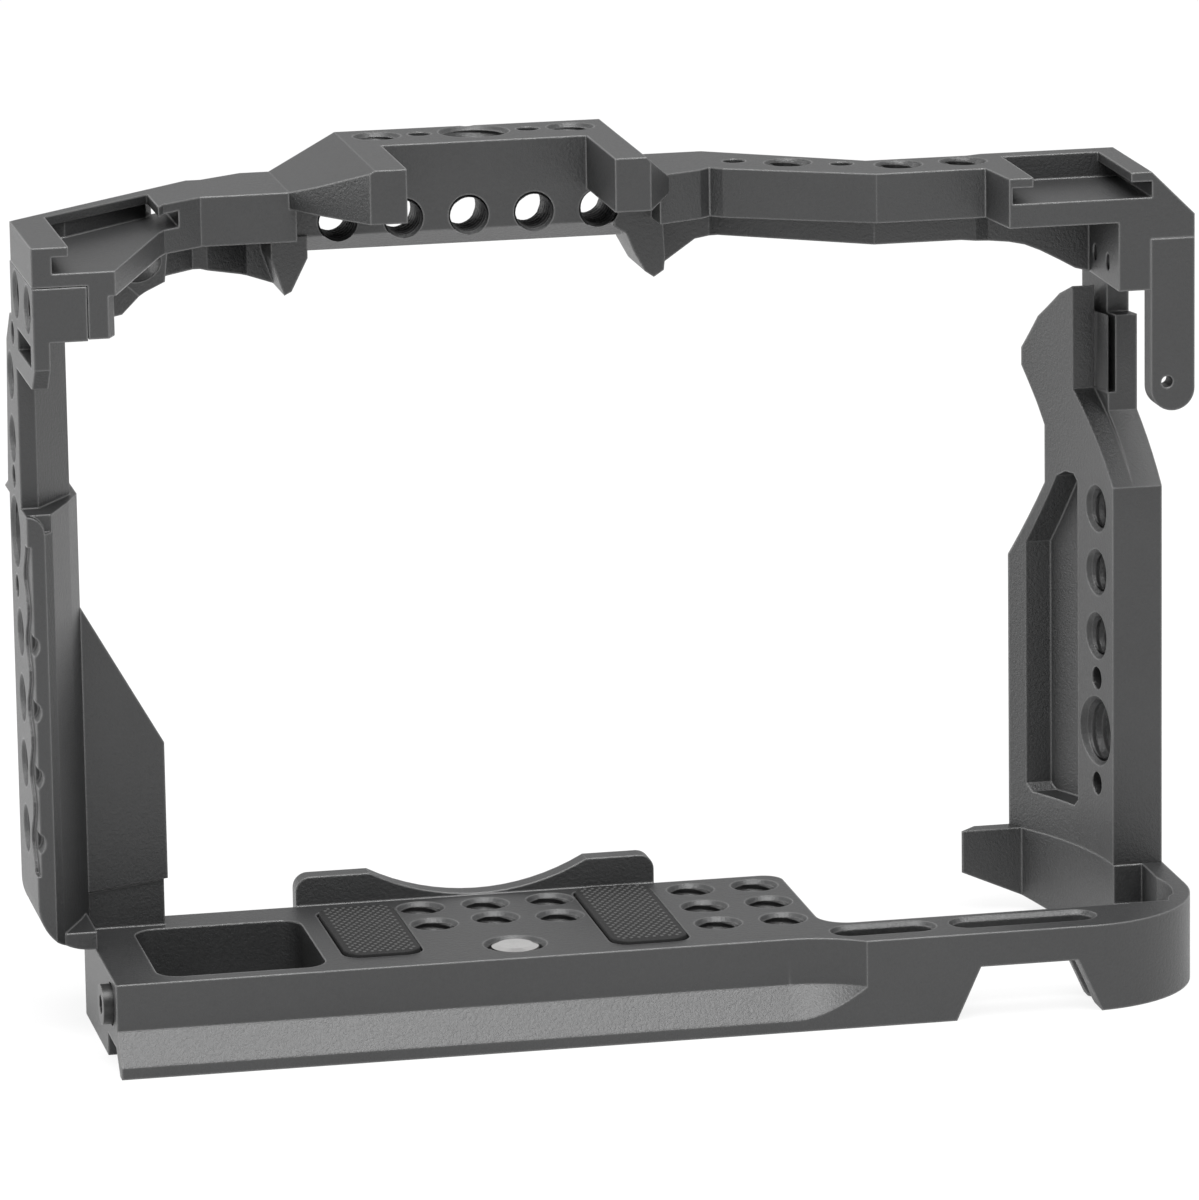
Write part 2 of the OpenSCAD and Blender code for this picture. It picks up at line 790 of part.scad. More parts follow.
module left_plate_body() {
    x = -left_x;
    difference() {
        union() {
            intersection() {
                union() {
                    left_section(strip_y, plate_z0, strut_z);
                    // toe beside the end of the base
                    box([x + strip_wide, strip_y + toe_y, plate_z0], [-base_left, left_far, plate_z0 + toe_h]);
                }
                // round outer lower corner
                union() {
                    box([x, 0, plate_z0 + corner_low], [0, far_big, strut_z]);
                    box([x + corner_low, 0, plate_z0], [0, far_big, strut_z]);
                    rod_y([x + corner_low, plate_z0 + corner_low], corner_low, 0, far_big);
                }
            }
            // upper strut, its far edge cut back below the top plate's slanting edge
            intersection() {
                prism_z([[x, strut_y], [x + strip_wide, strut_y], [plate_x1 - over, left_far - fold_b[1]],
                    [plate_x1 - over, left_far], [x, left_far]], strut_z - fuse, tab_top - tab_block + fuse);
                prism_x(concat([[0, 0], [left_far, 0], [left_far, strut_z]], strut_edge,
                    [[left_corner_y, tab_top - tab_block], [left_corner_y, top_z], [0, top_z]]), x - over, 0);
            }
            // tab that carries the strap slot
            prism_x([[left_near, tab_bottom + tab_chamfer], [left_near + tab_chamfer, tab_bottom],
                [strut_y + over, tab_bottom], [strut_y + over, tab_top - tab_block + fuse],
                [left_near, tab_top - tab_block + fuse]], x, x + tab_leaf);
            box([x, left_near, tab_top - tab_block], [x + tab_block, left_corner_y, tab_top]);
            // wing over the foot block
            prism_y([[plate_x1 - over, wing_foot], [plate_x1, base_t + foot_h + gap/2],
                [plate_x1 + wing_len - gap, base_t + foot_h + foot_rise + gap/2],
                [plate_x1 + wing_len - gap, wing_z], [plate_x1, wing_top], [plate_x1 - over, wing_top]],
                left_wing_y, left_wing_y + wing_t);
        }
        wave_relief();
        // far edge of the outer face, slanting above the joint
        prism_z([[x - over, face_far - over], [x - over, left_far + over],
            [x + left_far - face_far + over, left_far + over]], 0, strut_z);
        // rounded top of the near strip
        difference() {
            box([x + strip_wide - strip_round, strip_y - over, strut_z - strip_round],
                [x + strip_wide + over, strip_y + fold_a[1], strut_z + over]);
            rod_y([x + strip_wide - strip_round, strut_z - strip_round], strip_round,
                strip_y - 2*over, strip_y + fold_a[1] + over);
        }
        for (i = [0 : 3]) {
            blind_x(left_bores_y, left_bores_z + i*pitch, quarter_r, x, column_deep);
            rod_y([x - notch_out, left_bores_z + i*pitch], notch_d/2, strip_y - over, strip_y + notch_deep);
        }
        for (z = strut_bores)
            blind_x(strut_bores_y, z, quarter_r, x, strut_deep);
        blind_x(big_left[0], big_left[1], three_r, x, column_deep);
        for (i = [-1, 1])
            rod_x([big_left[0], big_left[1] + i*pin_gap], pin_r, x - over, x + notch_deep);
        for (y = tab_bores)
            blind_x(y, tab_bores_z, quarter_r, x, tab_bore_deep);
        rod_x(left_pin, pin_r, x - over, x + notch_deep);
        // strap slot
        box([x - over, strap_y, strap_z], [x + tab_leaf + over, strap_y + strap_wide, strap_z + strap_h]);
        // joints
        for (y = low_left_y) {
            rod_x([y, low_left_z], joint_head/2 + gap, x - over, low_seat_x);
            rod_x([y, low_left_z], joint_d/2 + gap/2, low_seat_x - over, plate_x1 + over);
        }
        for (p = high_left)
            rod_x(p, joint_d/2 + gap/2, x + tab_block - high_in, x + tab_block + over);
        rod_x(dowel_left, dowel_d/2, x + tab_block - high_in, x + tab_block + over);
    }
}

wing_foot = base_t + foot_h;
left_wing_y = 32;
low_sunk = 5.2;
low_seat_x = -left_x + low_sunk;
high_left = [[10.2, 101.2], [23.4, 101.2]];
high_in = 2.4;
high_left_seat = 1.5;
dowel_left = [16.8, 101.2];
tab_x = left_x - tab_block;

// Right plate: a wall that follows the grip

leaf_y = 42.8;
leaf_z = 77;
leaf_far = hook_depth - 2.6;
leaf_mid = [79.6, 87];
plate_far_z = 51.2;
waist_y = 49;
waist_z = [62.6, 70.8];
plateau_top = 87.8;
right_bores_y = 36;
right_bores_z = 43.35;
big_right_z = 29.8;
recess_y = 41.6;
recess_far = hook_depth - 3.2;
recess_z = [17.6, 53.4, 65];
ear_y = 41.4;
ear_deep = 6;
ear_arm = 23.8;
high_right = [[32.4, 98], [38, 98]];

module wall(r0, r1, z0, z1) {
    difference() {
        rod_z(grip_centre, r1, z0, z1);
        rod_z(grip_centre, r0, z0 - over, z1 + over);
    }
}

// Turns its child from the radius at depth y to +X through the wall
module radial(y, z) {
    turn = asin((y - grip_mid)/grip_r);
    translate([grip_centre[0], grip_centre[1], z])
        rotate([0, 0, turn])
            translate([grip_r, 0, 0])
                rotate([0, 90, 0])
                    children();
}

module right_plate_body() {
    z0 = base_t;
    mid_r = grip_r + leaf_t;
    out_r = grip_r + hook_wall;
    difference() {
        union() {
            intersection() {
                wall(mid_r - fuse, out_r, z0, far_big);
                prism_x([[plate_y, z0], [plate_y, kink_z], [plate_y + kink_back, kink_z + kink_back],
                    [plate_y + kink_back, plateau_top], [waist_y, plateau_top], [waist_y, waist_z[0]],
                    [plate_far, plate_far_z], [plate_far, z0]], 0, hook_right);
            }
            intersection() {
                wall(grip_r, mid_r, z0, far_big);
                prism_x([[plate_y, z0], [plate_y, kink_z], [leaf_y, leaf_z], [leaf_y, leaf_top],
                    [leaf_y + leaf_t, leaf_top - leaf_t/2], [leaf_far - leaf_t, leaf_mid[1] - leaf_t/3],
                    [leaf_far, leaf_mid[0] + leaf_t/2], [leaf_far, leaf_mid[0] - leaf_t/3],
                    [waist_y + leaf_t/2, waist_z[1] + leaf_t], [waist_y, waist_z[1]],
                    [waist_y, waist_z[0]], [plate_far, plate_far_z], [plate_far, z0]], 0, hook_right);
            }
            // ear that rises outside the corner block and reaches back along it
            intersection() {
                wall(mid_r + over, out_r, plateau_top - over, lug_top);
                box([0, ear_y, 0], [hook_right, ear_y + ear_deep, lug_top]);
            }
            box([lug_x, ear_arm, corner_z + gap], [hook_right - gap, ear_y + ear_deep/2, lug_top]);
        }
        // slit between the leaf and the outer wall
        intersection() {
            wall(mid_r, mid_r + over, leaf_z, plateau_top + over);
            box([0, plate_y, 0], [hook_right, leaf_y + leaf_t, far_big]);
        }
        // pocket of the inner face
        intersection() {
            rod_z(grip_centre, grip_r + recess_deep, 0, far_big);
            union() {
                prism_x([[recess_y, recess_z[0] + over], [recess_y, recess_z[2] - over],
                    [recess_y + over, recess_z[2]], [recess_y + 3*over, recess_z[2]],
                    [recess_y + 5*over, recess_z[2] - over], [recess_far, recess_z[1]],
                    [recess_far, recess_z[0] + over], [recess_far - over, recess_z[0]],
                    [recess_y + over, recess_z[0]]], near_centre[0] - slot_len, hook_right);
            }
        }
        for (i = [0 : 2])
            radial(right_bores_y, right_bores_z + i*pitch)
                bore(quarter_r, hook_wall);
        radial(right_bores_y, big_right_z)
            bore(three_r, hook_wall);
        for (i = [-1, 1])
            radial(right_bores_y, big_right_z + i*pin_gap)
                translate([0, 0, -over])
                    cylinder(r = pin_r, h = hook_wall/2 + over);
        // joints
        for (p = low_right)
            rod_z(p, joint_d/2 + gap/2, z0 - over, z0 + joint_in + gap);
        rod_z(dowel_right, dowel_d/2, z0 - over, z0 + dowel_in);
        for (p = high_right) {
            rod_x(p, joint_d/2 + gap/2, lug_x - over, hook_right + over);
            rod_x(p, joint_head/2 + gap, high_seat_x, hook_right + over);
        }
        rod_x(lug_screw, joint_d/2 + gap/2, lug_x - over, hook_right + over);
    }
}

high_seat_x = hook_right - gap - joint_head_h;
lug_screw = [25.7, 97.9];
lug_cheek = 8.9;

module lug_plate_body() {
    x1 = lug_right;
    r = (x1 - lug_x)/2;
    difference() {
        union() {
            box([lug_x, right_near, lug_bottom + r], [x1, right_near + lug_t, lug_top]);
            rod_y([lug_x + r, lug_bottom + r], r, right_near, right_near + lug_t);
            // cheek that lies on the right plate's arm
            box([hook_right - gap, right_near, corner_z], [x1, right_near + lug_cheek, lug_top]);
        }
        rod_y([x1 - eye_in, lug_bottom + eye_up], pin_r/2, right_near - over, right_near + lug_t + over);
        rod_x(lug_screw, joint_d/2 + gap/2, lug_x, x1 + over);
        rod_x(lug_screw, joint_head/2 + gap, x1 - lug_sunk, x1 + over);
    }
}

lug_sunk = 1.4;
eye_in = 3.85;
eye_up = 4;

// Top plate

tab_len = 3.8;
tab_z = 98.6;
left_body_far = 26;
horn_left = [-23.8, 96.2];
horn_right = [21.4, 7];
horn_shares = [[0, 1], [0, 0.88], [0.23, 0.76], [0.37, 0.46], [0.6, 0.1], [0.77, 0], [0.97, 0.11],
    [1, 0.33], [0.96, 1]];
gusset_low = 95.8;
gusset_mid = 99.6;
gusset_right = 98;
gusset_start = 68.2;
gusset_h = 5.4;
gusset_shares = [[0, 1], [0.38, 0.86], [0.5, 0.77], [0.62, 0.6], [0.77, 0.33], [0.89, 0.1], [1, 0]];
flank = 2.6;
hump_hole_y = 49.4;
hump_hole_dx = 13.4;
front_bore_x = 1.3;
front_bore_z = 105.9;
front_foot_z = 101.2;
front_slope = [5, 2.8];
arm_bore_1 = [45.5, 41.2];
arm_bore_2 = [59.6, 35.4];
arm_slope = 25;
wedge_at = [-43, 38.3, 98.5];
wedge_tilt = 57.3;
wedge_turn = 103;
bore_tilt = 76;
wedge_end = 41;
wedge_bore = [-44.5, 35.4, 102.4];

module left_outline() {
    polygon([[-left_x, left_near], [-tab_x + tab_len, left_near], [-left_lip_x, left_lip_y],
        [-left_lip_x + over, left_lip_y + 2*over], [-shoulder_x, left_arm_y],
        [-rise_left + over, left_arm_y], [-rise_left + over, hump_far], [-join_x, hump_far],
        [-shoulder_x + 2*over, shoulder_y], [-shoulder_x, shoulder_y], [-left_x + over, left_corner_y],
        [-left_x, left_corner_y - over]]);
}

module right_outline() {
    polygon([[rise_right - over, turn_y - pin_gap/2], [turn_x - pin_d, turn_y - over],
        [turn_x - pin_d/2, turn_y + over/2], [turn_x, turn_y - over], [bend_x, arm_near],
        [block_x - over, arm_near], [block_x, right_near], [lug_right, right_near],
        [lug_right, block_far], [block_x + over, block_far], [block_x - over, arm_far],
        [bend_x + over, arm_far], [turn_x, hump_far - over], [rise_right - over, hump_far - over]]);
}

// A band of the given width inside the far edge of an outline
module far_band(z0, z1, wide) {
    translate([0, 0, z0])
        linear_extrude(height = z1 - z0)
            difference() {
                union() {
                    left_outline();
                    right_outline();
                }
                translate([0, -wide])
                    union() {
                        left_outline();
                        right_outline();
                        translate([-rise_left, 0])
                            square([rise_left + rise_right, hump_far]);
                        translate([-far_big, -far_big])
                            square([2*far_big, far_big + left_near + wide + over]);
                    }
            }
}

// What lies above the skirt's lower edge, seen along Y
module skirt_profile() {
    prism_y([[-far_big, gusset_low], [-left_lip_x - skirt_t, gusset_low],
        [-left_lip_x - over, (gusset_low + 2*gusset_mid)/3], [-wedge_end, gusset_mid],
        [-shoulder_x + over, gusset_mid], [-join_x - over, gusset_right], [horn_left[0], horn_left[1]],
        [-rise_left + 3*over, front_foot_z], [rise_right - skirt_t, front_foot_z],
        [rise_right, arm_z - horn_h], [rise_right + over, arm_z - horn_h],
        [turn_x - 2*over, skirt_z - over/2], [turn_x + over, skirt_z],
        [gusset_start, skirt_z], [gusset_start, top_z], [-far_big, top_z]], 0, far_big);
}

module hump_profile(z) {
    polygon([[-rise_left - over, z], [-rise_left - over, top_z], [-rise_left, top_z],
        [hump_x - flat_half, rise_z], [hump_x + flat_half, rise_z], [rise_right, top_z],
        [rise_right, z]]);
}

module shoe_cut(x, y0, y1) {
    box([x - shoe_wide/2, y0 - over, floor_z], [x + shoe_wide/2, y1, floor_z + shoe_h]);
    box([x - shoe_lips/2, y0 - over, floor_z], [x + shoe_lips/2, y1, top_z + over]);
}

module top_plate_body() {
    notch_x = hump_x - notch_wide/2;
    shoe_x = block_x + (lug_x - block_x)/2 + gap;
    difference() {
        union() {
            translate([0, 0, arm_z])
                linear_extrude(height = arm_t)
                    left_outline();
            translate([0, 0, arm_z])
                linear_extrude(height = arm_t)
                    right_outline();
            // raised middle and the two arms beside the notch
            difference() {
                intersection() {
                    translate([0, hump_far, 0])
                        rotate([90, 0, 0])
                            linear_extrude(height = hump_far - notch_near)
                                hump_profile(arm_z + hump_h - over/2);
                    prism_z([[-rise_left, left_arm_y], [-rise_left + flank, left_arm_y - 2*flank],
                        [notch_x - hump_h, notch_near],
                        [rise_right - hump_h, notch_near], [rise_right, turn_y - hump_h],
                        [rise_right, hump_far - over], [hump_x + flat_half, hump_far],
                        [-rise_left, hump_far]], 0, rise_z + over);
                }
                box([notch_x, 0, 0], [notch_x + notch_wide, notch_far, rise_z + over]);
            }
            // front wall
            prism_x([[notch_far, front_foot_z + front_slope[1]], [notch_far + front_slope[0], front_foot_z],
                [notch_far + front_t, front_foot_z], [notch_far + front_t, arm_z + hump_h],
                [notch_far, arm_z + hump_h]], -rise_left, rise_right);
            // skirt along the far edge, deeper at its ends
            intersection() {
                far_band(horn_left[1] - 3*over, arm_z + over, skirt_t);
                skirt_profile();
                box([-base_left + gap, 0, 0], [lug_x, far_big, top_z]);
            }
            // horns beside the eyepiece
            prism_y([[-rise_left - 2*over, arm_z], [-rise_left - 2*over, front_foot_z],
                [horn_left[0] - over/2, horn_left[1]], [horn_left[0] + over/2, horn_left[1] + over/2],
                [-rise_left + 3*over, front_foot_z], [-rise_left + 3*over, arm_z]],
                notch_far - over/2, hump_far - over);
            prism_y([for (q = horn_shares)
                [horn_right[0] + q[0]*horn_right[1], arm_z - horn_h + q[1]*horn_h]],
                notch_far, hump_far - over);
            // left tab beside the left plate's block
            prism_z([[-tab_x, left_near], [-tab_x + tab_len - over, left_near],
                [-tab_x + tab_len, left_near + 2*over], [-tab_x + tab_len, left_body_far],
                [-tab_x, left_body_far]], tab_z, arm_z + over);
            box([-left_x, left_near, tab_top], [-tab_x + fuse, left_corner_y - over, arm_z + fuse]);
            // right corner block
            box([corner_x, right_near, corner_z], [lug_x, block_far, arm_z + fuse]);
            box([lug_x - fuse, right_near, lug_top], [lug_right, block_far, arm_z + fuse]);
            // gusset that deepens from the skirt to the corner block
            intersection() {
                far_band(corner_z - gap, arm_z + over, skirt_t);
                prism_y(concat([for (q = gusset_shares)
                    [gusset_start + q[0]*(corner_x - gusset_start), corner_z + q[1]*gusset_h]],
                    [[lug_x, corner_z], [lug_x, top_z], [gusset_start, top_z]]), 0, far_big);
            }
            // wedge under the left shoe, its underside slanting down to the far edge
            intersection() {
                translate([0, 0, corner_z])
                    linear_extrude(height = arm_t + arm_z - corner_z)
                        left_outline();
                wedge_frame(wedge_at, wedge_tilt)
                    box([-far_big, -far_big, 0], [far_big, far_big, far_big]);
                skirt_profile();
                box([-base_left + gap, left_body_far, 0], [-wedge_end, far_big, arm_z + over]);
            }
        }
        // seat of the left plate's block
        box([-left_x - over, 0, tab_z - over], [-tab_x + seam, left_corner_y, tab_top + seam]);
        // accessory shoes, open towards the operator
        shoe_cut(shoe_x, right_near, right_near + right_deep);
        left_shoe();
        // chamfer along the right edge
        prism_y([[lug_right - edge_chamfer, top_z + over], [lug_right - edge_chamfer, top_z],
            [lug_right, top_z - edge_chamfer], [lug_right + over, top_z - edge_chamfer],
            [lug_right + over, top_z + over]], right_near - over, block_far + over);
        // holes of the raised middle
        for (i = [-1, 1]) {
            blind_down(hump_x + i*hump_hole_dx, hump_hole_y, quarter_r, rise_z, arm_t);
            rod_z([hump_x + i*pin_gap, hump_hole_y], pin_r, rise_z - notch_deep, rise_z + over);
        }
        blind_down(hump_x, hump_hole_y, three_r, rise_z, arm_t);
        // holes of the front wall
        for (i = [-2 : 2])
            rod_y([front_bore_x + i*pitch, front_bore_z], quarter_r, notch_far - over, hump_far + over);
        // holes of the right arm
        bore_z(arm_bore_1[0], arm_bore_1[1], quarter_r, arm_z, top_z);
        for (i = [-1, 1])
            rod_z([arm_bore_1[0] + i*pin_gap*cos(arm_slope), arm_bore_1[1] - i*pin_gap*sin(arm_slope)],
                pin_r, top_z - notch_deep, top_z + over);
        for (i = [0, 1])
            bore_z(arm_bore_2[0] + i*pitch, arm_bore_2[1], quarter_r, arm_z, top_z);
        // hole through the wedge
        wedge_frame(wedge_bore, bore_tilt)
            translate([0, 0, -skirt_t])
                cylinder(r = quarter_r, h = 4*skirt_t);
        // joints
        for (p = concat(high_right, [lug_screw]))
            rod_x(p, joint_d/2 + gap/2, corner_x - over, lug_x + over);
        for (p = high_left) {
            rod_x(p, joint_d/2 + gap/2, -tab_x - over, -tab_x + tab_len + over);
            rod_x(p, joint_head/2 + gap, -tab_x + high_left_seat, -tab_x + tab_len + over);
        }
        rod_x(dowel_left, dowel_d/2, -tab_x - over, -tab_x + dowel_in);
    }
}

// The frame of the slanting underside, with its normal along +Z
module wedge_frame(at, tilt) {
    translate(at)
        rotate([0, 0, wedge_turn])
            rotate([0, tilt, 0])
                children();
}

module left_shoe() {
    box([-left_x + shoe_lips/5, left_near - over, floor_z], [-left_lip_x + pin_d, left_lip_y, floor_z + shoe_h]);
    intersection() {
        prism_z([[-left_x + shoe_lips/5, 0], [-left_lip_x + pin_d, 0], [-left_lip_x + pin_d, shoulder_y],
            [-left_lip_x, left_corner_y + left_lip_x - shoulder_x + over*9],
            [-left_x + shoe_lips/5, left_corner_y - over]], floor_z, floor_z + shoe_h);
        box([-left_x, 0, 0], [0, hump_far, far_big]);
    }
    prism_z([[-left_x + shoe_lips/5 + shoe_h, 0], [-left_lip_x, 0], [-left_lip_x, shoulder_y - 9*over],
        [-left_x + shoe_lips/5 + shoe_h, left_corner_y + over]], floor_z, top_z + over);
}

// The nodes

module base_plate() {
    color([0.2, 0.2, 0.21])
        placed()
            base_plate_body();
}

module pad_left() {
    color([0.09, 0.09, 0.1])
        placed()
            pad_body(pad_l0, pad_left_wide);
}

module pad_right() {
    color([0.09, 0.09, 0.1])
        placed()
            pad_body(pad_r0, pad_right_wide);
}

module camera_screw() {
    color([0.75, 0.75, 0.74])
        placed()
            camera_screw_body();
}

module screw_ring() {
    color([0.6, 0.6, 0.6])
        placed()
            screw_ring_body();
}

module screw_washer() {
    color([0.85, 0.85, 0.83])
        placed()
            screw_washer_body();
}

module stop_screw() {
    color([0.12, 0.12, 0.12])
        placed()
            stop_screw_body();
}

module left_plate() {
    color([0.22, 0.22, 0.23])
        placed()
            left_plate_body();
}

module right_plate() {
    color([0.22, 0.22, 0.23])
        placed()
            right_plate_body();
}

module top_plate() {
    color([0.21, 0.21, 0.22])
        placed()
            top_plate_body();
}

module lug_plate() {
    color([0.24, 0.24, 0.25])
        placed()
            lug_plate_body();
}

module steel() {
    color([0.13, 0.13, 0.13])
        placed()
            children();
}

module screw_left_low_near() {
    steel()
        joint_x(low_left_y[0], low_left_z, low_seat_x, foot_x0 + joint_in);
}

module screw_left_low_far() {
    steel()
        joint_x(low_left_y[1], low_left_z, low_seat_x, foot_x0 + joint_in);
}

module screw_left_high_near() {
    steel()
        joint_x(high_left[0][0], high_left[0][1], -tab_x + high_left_seat, -tab_x - high_in + gap);
}

module screw_left_high_far() {
    steel()
        joint_x(high_left[1][0], high_left[1][1], -tab_x + high_left_seat, -tab_x - high_in + gap);
}

module screw_right_low_near() {
    steel()
        joint_z(low_right[0], low_seat, base_t + joint_in);
}

module screw_right_low_far() {
    steel()
        joint_z(low_right[1], low_seat, base_t + joint_in);
}

module screw_right_high_near() {
    steel()
        joint_x(high_right[0][0], high_right[0][1], high_seat_x, corner_x + gap);
}

module screw_right_high_far() {
    steel()
        joint_x(high_right[1][0], high_right[1][1], high_seat_x, corner_x + gap);
}

module screw_lug() {
    steel()
        joint_x(lug_screw[0], lug_screw[1], lug_right - lug_sunk, corner_x + gap, lug_sunk);
}

module dowel_left_high() {
    steel()
        rod_x(dowel_left, dowel_d/2, -tab_x - high_in + gap, -tab_x + dowel_in - gap);
}

module dowel_right_low() {
    steel()
        rod_z(dowel_right, dowel_d/2, base_t - dowel_in + gap, base_t + dowel_in - gap);
}

base_plate();
pad_left();
pad_right();
camera_screw();
screw_ring();
screw_washer();
stop_screw();
left_plate();
right_plate();
top_plate();
lug_plate();
screw_left_low_near();
screw_left_low_far();
screw_left_high_near();
screw_left_high_far();
screw_right_low_near();
screw_right_low_far();
screw_right_high_near();
screw_right_high_far();
screw_lug();
dowel_left_high();
dowel_right_low();
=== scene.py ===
"""Camera cage: black anodised plates, studded rubber pads, cut threads and a bright captive screw.
Everything is in metres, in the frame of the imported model, where no comment says otherwise."""
import json
import math

import bpy
from mathutils import Matrix, Vector


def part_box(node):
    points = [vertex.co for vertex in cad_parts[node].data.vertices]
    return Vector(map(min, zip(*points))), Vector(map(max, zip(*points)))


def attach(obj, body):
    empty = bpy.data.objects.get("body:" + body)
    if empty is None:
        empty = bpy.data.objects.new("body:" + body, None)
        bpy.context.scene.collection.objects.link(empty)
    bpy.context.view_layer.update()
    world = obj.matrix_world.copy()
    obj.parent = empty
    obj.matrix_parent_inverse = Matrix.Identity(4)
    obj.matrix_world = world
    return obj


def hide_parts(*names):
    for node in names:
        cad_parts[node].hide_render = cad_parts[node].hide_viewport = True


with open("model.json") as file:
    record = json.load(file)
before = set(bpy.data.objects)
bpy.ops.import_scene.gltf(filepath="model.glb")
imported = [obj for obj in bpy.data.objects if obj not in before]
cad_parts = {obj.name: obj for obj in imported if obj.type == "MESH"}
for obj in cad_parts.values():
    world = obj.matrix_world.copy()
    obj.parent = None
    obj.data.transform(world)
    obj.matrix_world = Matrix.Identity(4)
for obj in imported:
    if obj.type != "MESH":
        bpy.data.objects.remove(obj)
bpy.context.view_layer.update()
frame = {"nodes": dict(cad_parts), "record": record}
RECORD = frame["record"]
MM = 0.001

# Camera of the photograph

YAW, PITCH, ROLL = math.radians(11.391), math.radians(12.972), math.radians(0.887)
EYE = Vector((-0.19980, -1.05273, 0.30598))
FOCAL_PX, LONG_SIDE_PX = 8265.0, 1200.0
SENSOR_MM = 36
CLIP_NEAR, CLIP_FAR = 0.05, 60


def aim_camera():
    forward = Vector((math.sin(YAW)*math.cos(PITCH), math.cos(YAW)*math.cos(PITCH), -math.sin(PITCH)))
    right = Vector((math.cos(YAW), -math.sin(YAW), 0))
    down = forward.cross(right)
    turned_right = math.cos(ROLL)*right + math.sin(ROLL)*down
    turned_down = math.cos(ROLL)*down - math.sin(ROLL)*right
    data = bpy.data.cameras.new("studio_camera")
    data.sensor_width = SENSOR_MM
    data.lens = FOCAL_PX/LONG_SIDE_PX*SENSOR_MM
    data.clip_start, data.clip_end = CLIP_NEAR, CLIP_FAR
    camera = bpy.data.objects.new("studio_camera", data)
    bpy.context.scene.collection.objects.link(camera)
    axes = Matrix((turned_right, -turned_down, -forward)).transposed().to_4x4()
    camera.matrix_world = Matrix.Translation(EYE) @ axes
    bpy.context.scene.camera = camera


aim_camera()

# Shader helpers


class Wire:
    """A socket's value that can be used in sums and products with numbers and other wires."""

    def __init__(self, finish, socket):
        self.finish = finish
        self.socket = socket

    def maths(self, operation, first, second):
        return self.finish.node("ShaderNodeMath", {0: first, 1: second}, operation=operation)

    def __add__(self, other):
        return self.maths("ADD", self, other)

    def __radd__(self, other):
        return self.maths("ADD", other, self)

    def __sub__(self, other):
        return self.maths("SUBTRACT", self, other)

    def __rsub__(self, other):
        return self.maths("SUBTRACT", other, self)

    def __mul__(self, other):
        return self.maths("MULTIPLY", self, other)

    def __rmul__(self, other):
        return self.maths("MULTIPLY", other, self)

    def __pow__(self, other):
        return self.maths("POWER", self, other)

    def at_most(self, limit):
        return self.maths("MINIMUM", self, limit)

    def at_least(self, limit):
        return self.maths("MAXIMUM", self, limit)


class Finish:
    """A node material with one Principled shader; its fixed values sit on the shader's own sockets."""

    def __init__(self, name, **fixed):
        self.material = bpy.data.materials.new(name)
        self.material.use_nodes = True
        self.tree = self.material.node_tree
        self.tree.nodes.clear()
        self.shader = self.tree.nodes.new("ShaderNodeBsdfPrincipled")
        self.end = self.tree.nodes.new("ShaderNodeOutputMaterial")
        self.tree.links.new(self.shader.outputs[0], self.end.inputs["Surface"])
        for socket, value in fixed.items():
            self.shader.inputs[socket.replace("_", " ")].default_value = value

    def node(self, kind, sockets=None, out=0, **settings):
        made = self.tree.nodes.new(kind)
        for setting, value in settings.items():
            setattr(made, setting, value)
        for key, value in (sockets or {}).items():
            if isinstance(value, Wire):
                self.tree.links.new(value.socket, made.inputs[key])
            else:
                made.inputs[key].default_value = value
        return Wire(self, made.outputs[out])

    def place(self):
        return self.node("ShaderNodeTexCoord", out="Object")

    def along(self, where, axis):
        return self.node("ShaderNodeSeparateXYZ", {0: where}, out=axis)

    def noise(self, where, scale, detail=2.0, roughness=0.5):
        return self.node("ShaderNodeTexNoise",
                         {"Vector": where, "Scale": scale, "Detail": detail, "Roughness": roughness})

    def blend(self, amount, low, high):
        return self.node("ShaderNodeMix", {"Factor": amount, 6: low, 7: high}, out=2, data_type="RGBA")

    def feed(self, socket, wire):
        self.tree.links.new(wire.socket, self.shader.inputs[socket])

    def bump(self, height, distance, strength=1.0, under=None):
        sockets = {"Height": height, "Distance": distance, "Strength": strength}
        if under:
            sockets["Normal"] = under
        self.feed("Normal", self.node("ShaderNodeBump", sockets))


def grey(value, warm=0.0):
    return (value*(1 + warm), value, value*(1 - warm), 1)


# Finishes

BLUISH = -0.02
# Gain of the edge mask, which paints highlights along the edges
EDGE_HIGHLIGHT_GAIN = 9.0


def eased_normal(f, radius):
    """The normal of an edge eased by the given radius, and a mask of 1 where it turns from the flat face,
    which paints the edge highlights.
    """
    soft = f.node("ShaderNodeBevel", {"Radius": radius}, samples=6)
    flat = f.node("ShaderNodeNewGeometry", out="True Normal")
    agree = f.node("ShaderNodeVectorMath", {0: soft, 1: flat}, out="Value", operation="DOT_PRODUCT")
    return soft, ((1 - agree)*EDGE_HIGHLIGHT_GAIN).at_most(1.0)


def anodised(name, tone, edge_highlight_tone):
    """Bead-blasted aluminium under a black anodic film, with a painted highlight: a lighter base colour
    along the edges.
    """
    f = Finish(name, Metallic=0.0, IOR=1.6)
    where = f.place()
    soft, edge = eased_normal(f, 0.42*MM)
    grain = f.noise(where, scale=2300, detail=3, roughness=0.7)
    cloud = f.noise(where, scale=55, detail=3, roughness=0.6)
    film = f.blend(grain*0.6 + cloud*0.4, grey(tone*0.4, BLUISH), grey(tone*1.7, BLUISH))
    # Painted highlight: the base colour turns lighter along the edges
    f.feed("Base Color", f.blend(edge*(0.55 + cloud*0.5), film, grey(edge_highlight_tone)))
    f.feed("Roughness", 0.34 + grain*0.14 + cloud*0.05 - edge*0.1)
    f.bump(grain, distance=0.12*MM, strength=0.8, under=soft)
    return f.material


